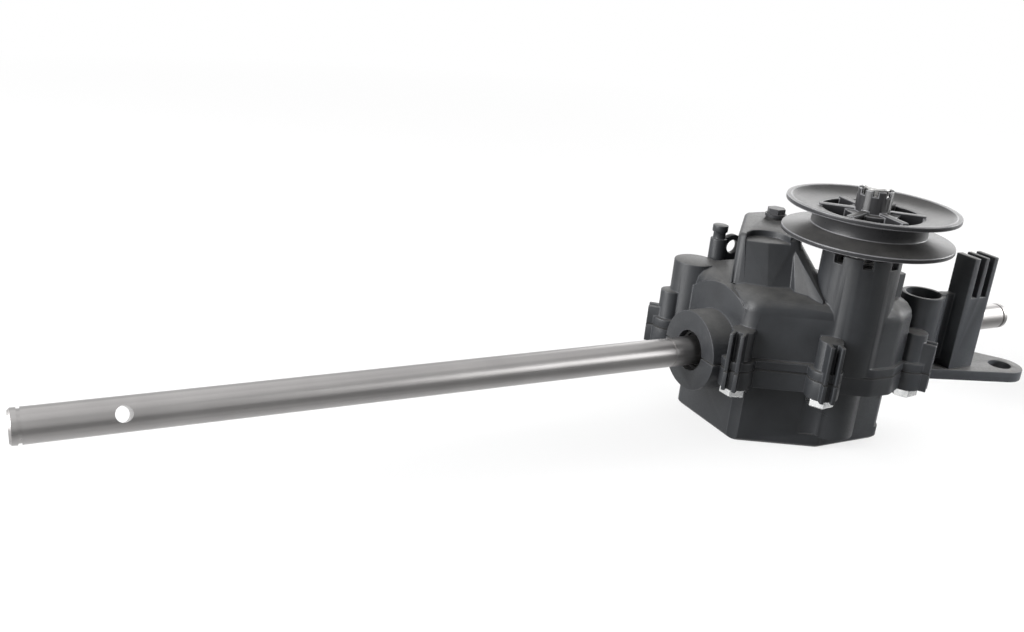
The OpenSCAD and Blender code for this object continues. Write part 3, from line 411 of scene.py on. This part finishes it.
def hexagon_screw_tree():
    """Instances a hexagon screw with a washer face at each point, head down."""
    tree = bpy.data.node_groups.new("Hexagon screws", "GeometryNodeTree")
    face = tree.interface
    face.new_socket(name="Points", in_out="INPUT", socket_type="NodeSocketGeometry")
    sizes = {}
    for label, value in SCREW_SIZES_MM:
        socket = face.new_socket(name=label, in_out="INPUT", socket_type="NodeSocketFloat")
        socket.default_value = value * MM
        sizes[label] = socket.identifier
    finish = face.new_socket(name="Finish", in_out="INPUT", socket_type="NodeSocketMaterial")
    sizes["Finish"] = finish.identifier
    face.new_socket(name="Screws", in_out="OUTPUT", socket_type="NodeSocketGeometry")
    given = tree.nodes.new("NodeGroupInput")
    result = tree.nodes.new("NodeGroupOutput")
    join = tree.nodes.new("GeometryNodeJoinGeometry")

    def lifted(solid, low, high):
        """A solid drawn round its middle, moved to stand between two heights."""
        middle = put(tree, "ShaderNodeMath", operation="ADD")
        half = put(tree, "ShaderNodeMath", {1: 0.5}, operation="MULTIPLY")
        place = tree.nodes.new("ShaderNodeCombineXYZ")
        move = tree.nodes.new("GeometryNodeTransform")
        tree.links.new(low, middle.inputs[0])
        tree.links.new(high, middle.inputs[1])
        tree.links.new(middle.outputs[0], half.inputs[0])
        tree.links.new(half.outputs[0], place.inputs["Z"])
        tree.links.new(solid, move.inputs["Geometry"])
        tree.links.new(place.outputs[0], move.inputs["Translation"])
        tree.links.new(move.outputs["Geometry"], join.inputs["Geometry"])

    def difference(high, low):
        """One height less another."""
        less = put(tree, "ShaderNodeMath", operation="SUBTRACT")
        tree.links.new(high, less.inputs[0])
        tree.links.new(low, less.inputs[1])
        return less.outputs[0]

    ground = put(tree, "ShaderNodeValue").outputs[0]
    ground.default_value = 0.0
    crown = put(tree, "ShaderNodeMath", {1: CHAMFER_DEPTH_SHARE}, operation="MULTIPLY")
    tree.links.new(given.outputs["Head Height"], crown.inputs[0])
    neck = difference(given.outputs["Head Height"], given.outputs["Washer Face Height"])

    # The head's outer face is chamfered to a circle
    chamfer = put(tree, "GeometryNodeMeshCone", {"Vertices": 6})
    top_radius = put(tree, "ShaderNodeMath", {1: CHAMFER_RADIUS_SHARE}, operation="MULTIPLY")
    tree.links.new(given.outputs["Head Radius"], top_radius.inputs[0])
    tree.links.new(given.outputs["Head Radius"], chamfer.inputs["Radius Top"])
    tree.links.new(top_radius.outputs[0], chamfer.inputs["Radius Bottom"])
    tree.links.new(crown.outputs[0], chamfer.inputs["Depth"])
    tree.links.new(chamfer.outputs["Mesh"], join.inputs["Geometry"])
    for sides, radius, low, high in (
            (6, "Head Radius", crown.outputs[0], neck),
            (36, "Washer Face Radius", neck, given.outputs["Head Height"]),
            (32, "Shank Radius", given.outputs["Head Height"], given.outputs["Screw Length"])):
        drum = put(tree, "GeometryNodeMeshCylinder", {"Vertices": sides})
        tree.links.new(given.outputs[radius], drum.inputs["Radius"])
        tree.links.new(difference(high, low), drum.inputs["Depth"])
        lifted(drum.outputs["Mesh"], low, high)

    turn = put(tree, "GeometryNodeInputNamedAttribute", {"Name": "turn"}, data_type="FLOAT")
    swing = tree.nodes.new("ShaderNodeCombineXYZ")
    spread = tree.nodes.new("GeometryNodeInstanceOnPoints")
    solid = tree.nodes.new("GeometryNodeRealizeInstances")
    paint = tree.nodes.new("GeometryNodeSetMaterial")
    tree.links.new(turn.outputs["Attribute"], swing.inputs["Z"])
    tree.links.new(given.outputs["Points"], spread.inputs["Points"])
    tree.links.new(join.outputs["Geometry"], spread.inputs["Instance"])
    tree.links.new(swing.outputs[0], spread.inputs["Rotation"])
    tree.links.new(spread.outputs["Instances"], solid.inputs["Geometry"])
    tree.links.new(solid.outputs["Geometry"], paint.inputs["Geometry"])
    tree.links.new(given.outputs["Finish"], paint.inputs["Material"])
    tree.links.new(paint.outputs["Geometry"], result.inputs["Screws"])
    return tree, sizes


def make_screws():
    """The six screws as one mesh, standing for the CAD node."""
    screws = screw_spots()
    low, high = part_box("housing_screws")
    tree, sizes = hexagon_screw_tree()
    spread = screws.modifiers.new("Spread", "NODES")
    spread.node_group = tree
    spread[sizes["Screw Length"]] = high[2] - low[2]
    spread[sizes["Finish"]] = zinc
    bpy.context.view_layer.update()
    plain_mesh(screws)
    soften = screws.modifiers.new("Soften", "BEVEL")
    soften.width = SCREW_EDGE
    soften.segments = 2
    soften.angle_limit = SCREW_EDGE_ANGLE
    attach(screws, "casing")
    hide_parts("housing_screws")


make_screws()


# Floor, light and camera

FLOOR_DROP = 0.2 * MM
FLOOR_HALF = 6.0
FLOOR_TONE = 0.86
FLOOR_BOUNCE = 0.28
# The floor turns white between these two distances from the object
FLOOR_WHITE_SHARE = {"From Min": 0.25, "From Max": 1.1, "To Min": 0.72, "To Max": 1.0}
# The studio reflects darker in this direction, between these two values of the dot product
FRONT_RIGHT = (0.30, -0.95, 0.0)
FRONT_FROM, FRONT_TO = 0.25, 0.85
FLOOR_FRONT_LEVEL = 0.10
WORLD_FRONT_LEVEL = 0.85
WORLD_SOFT_LIGHT = 0.16


def seen_or_reflected(tree):
    """1 for rays from the camera and from glossy reflection, otherwise 0."""
    path = tree.nodes.new("ShaderNodeLightPath")
    either = put(tree, "ShaderNodeMath", operation="MAXIMUM")
    tree.links.new(path.outputs["Is Camera Ray"], either.inputs[0])
    tree.links.new(path.outputs["Is Glossy Ray"], either.inputs[1])
    return either.outputs[0]


def reflected_level(tree, direction, lowest):
    """1, falling to the lowest level for glossy rays that run towards the front right."""
    path = tree.nodes.new("ShaderNodeLightPath")
    facing = put(tree, "ShaderNodeVectorMath", {1: FRONT_RIGHT}, operation="DOT_PRODUCT")
    level = put(tree, "ShaderNodeMapRange",
                {"From Min": FRONT_FROM, "From Max": FRONT_TO, "To Min": 0.0, "To Max": 1.0 - lowest})
    glossy = put(tree, "ShaderNodeMath", operation="MULTIPLY")
    left = put(tree, "ShaderNodeMath", {0: 1.0}, operation="SUBTRACT")
    tree.links.new(direction, facing.inputs[0])
    tree.links.new(facing.outputs["Value"], level.inputs["Value"])
    tree.links.new(level.outputs["Result"], glossy.inputs[0])
    tree.links.new(path.outputs["Is Glossy Ray"], glossy.inputs[1])
    tree.links.new(glossy.outputs[0], left.inputs[1])
    return left.outputs[0]


def make_floor():
    """Pale floor: white where it is far off, shaded near the object, and throwing little light back."""
    level = cad_box[0][2] - FLOOR_DROP
    corners = [(x * FLOOR_HALF, y * FLOOR_HALF, level) for x, y in ((-1, -1), (1, -1), (1, 1), (-1, 1))]
    mesh = bpy.data.meshes.new("floor")
    mesh.from_pydata(corners, [], [(0, 1, 2, 3)])
    floor = bpy.data.objects.new("floor", mesh)
    scene.collection.objects.link(floor)
    material = bpy.data.materials.new("Pale floor")
    material.use_nodes = True
    tree = material.node_tree
    tree.nodes.clear()
    matt = put(tree, "ShaderNodeBsdfDiffuse")
    path = tree.nodes.new("ShaderNodeLightPath")
    bounce = put(tree, "ShaderNodeMapRange", {"To Min": FLOOR_TONE, "To Max": FLOOR_BOUNCE})
    tree.links.new(path.outputs["Is Diffuse Ray"], bounce.inputs["Value"])
    tree.links.new(bounce.outputs["Result"], matt.inputs["Color"])
    white = put(tree, "ShaderNodeEmission", {"Color": WHITE})
    share = put(tree, "ShaderNodeMath", operation="MULTIPLY")
    place = tree.nodes.new("ShaderNodeTexCoord")
    reach = put(tree, "ShaderNodeVectorMath", operation="LENGTH")
    far = put(tree, "ShaderNodeMapRange", FLOOR_WHITE_SHARE)
    mix = tree.nodes.new("ShaderNodeMixShader")
    out = tree.nodes.new("ShaderNodeOutputMaterial")
    tree.links.new(place.outputs["Object"], reach.inputs[0])
    tree.links.new(reach.outputs["Value"], far.inputs["Value"])
    tree.links.new(far.outputs["Result"], share.inputs[0])
    tree.links.new(seen_or_reflected(tree), share.inputs[1])
    tree.links.new(share.outputs[0], mix.inputs[0])
    view = tree.nodes.new("ShaderNodeNewGeometry")
    away = put(tree, "ShaderNodeVectorMath", {1: (-1.0, -1.0, -1.0)}, operation="MULTIPLY")
    tree.links.new(view.outputs["Incoming"], away.inputs[0])
    tree.links.new(reflected_level(tree, away.outputs["Vector"], FLOOR_FRONT_LEVEL), white.inputs["Strength"])
    tree.links.new(matt.outputs[0], mix.inputs[1])
    tree.links.new(white.outputs[0], mix.inputs[2])
    tree.links.new(mix.outputs[0], out.inputs["Surface"])
    dress(floor, material)


def make_world():
    """White to the eye and in reflections, and a plain level of soft light otherwise."""
    world = bpy.data.worlds.new("Studio")
    scene.world = world
    world.use_nodes = True
    tree = world.node_tree
    tree.nodes.clear()
    light = put(tree, "ShaderNodeBackground", {"Color": WHITE, "Strength": WORLD_SOFT_LIGHT})
    white = put(tree, "ShaderNodeBackground", {"Color": WHITE})
    mix = tree.nodes.new("ShaderNodeMixShader")
    out = tree.nodes.new("ShaderNodeOutputWorld")
    tree.links.new(seen_or_reflected(tree), mix.inputs[0])
    direction = tree.nodes.new("ShaderNodeTexCoord")
    level = reflected_level(tree, direction.outputs["Generated"], WORLD_FRONT_LEVEL)
    tree.links.new(level, white.inputs["Strength"])
    tree.links.new(light.outputs[0], mix.inputs[1])
    tree.links.new(white.outputs[0], mix.inputs[2])
    tree.links.new(mix.outputs[0], out.inputs["Surface"])


def hang(data, place, target, power):
    """A lamp of some kind, put at its place and turned to a point."""
    data.energy = power
    obj = bpy.data.objects.new(data.name, data)
    scene.collection.objects.link(obj)
    obj.location = place
    obj.rotation_euler = (Vector(target) - Vector(place)).to_track_quat("-Z", "Y").to_euler()
    return obj


def lamp(name, place, target, size, power):
    """A soft square lamp."""
    data = bpy.data.lights.new(name, "AREA")
    data.size = size
    return hang(data, place, target, power)


def spot(name, place, target, cone, power):
    """A narrow lamp with a soft rim."""
    data = bpy.data.lights.new(name, "SPOT")
    data.spot_size = math.radians(cone)
    data.spot_blend = 1.0
    data.shadow_soft_size = 0.05
    return hang(data, place, target, power)


CAMERA_AZIMUTH = math.radians(-28.23)
CAMERA_HEIGHT = math.radians(20.26)
CAMERA_ROLL = math.radians(5.53)
CAMERA_TARGET = Vector((-140.64 * MM, 0.0, 22.32 * MM))
CAMERA_DISTANCE = 392.11 * MM
CAMERA_LENS = 36.914


def make_camera():
    """The photograph's view: from the front left and a little above, rolled by a few degrees."""
    level = math.cos(CAMERA_HEIGHT)
    across, ahead = math.sin(CAMERA_AZIMUTH) * level, math.cos(CAMERA_AZIMUTH) * level
    back = Vector((across, -ahead, math.sin(CAMERA_HEIGHT)))
    right = (-back).cross(Vector((0.0, 0.0, 1.0))).normalized()
    up = right.cross(-back)
    turned_right = right * math.cos(CAMERA_ROLL) + up * math.sin(CAMERA_ROLL)
    turned_up = up * math.cos(CAMERA_ROLL) - right * math.sin(CAMERA_ROLL)
    place = CAMERA_TARGET + back * CAMERA_DISTANCE
    data = bpy.data.cameras.new("camera")
    data.sensor_width = 36.0
    data.lens = CAMERA_LENS
    data.clip_start = 0.01
    camera = bpy.data.objects.new("camera", data)
    scene.collection.objects.link(camera)
    columns = [list(turned_right) + [0], list(turned_up) + [0], list(back) + [0], list(place) + [1]]
    camera.matrix_world = Matrix(columns).transposed()
    scene.camera = camera


scene.view_settings.view_transform = "Standard"
make_floor()
make_world()
# Each lamp has its place, the point that it faces, its size (a spot: its cone in degrees) and its power
MIDDLE = (-0.03, 0.0, 0.01)
lamp("left", (-1.15, 0.05, 0.50), MIDDLE, 0.9, 33.0)
lamp("top", (-0.15, 0.25, 1.30), MIDDLE, 2.0, 5.0)
lamp("behind right", (0.95, 0.85, 0.48), MIDDLE, 0.9, 4.0)
lamp("right", (1.15, -0.20, 0.40), MIDDLE, 0.7, 13.0)
shine = lamp("right front", (0.65, -0.95, 0.46), MIDDLE, 0.6, 3.5)
shine.visible_diffuse = False
BRACKET = (0.088, -0.044, 0.012)
bracket_spot = spot("bracket", (0.60, -0.80, 0.30), BRACKET, 6.0, 260.0)
bracket_spot.visible_glossy = False
make_camera()
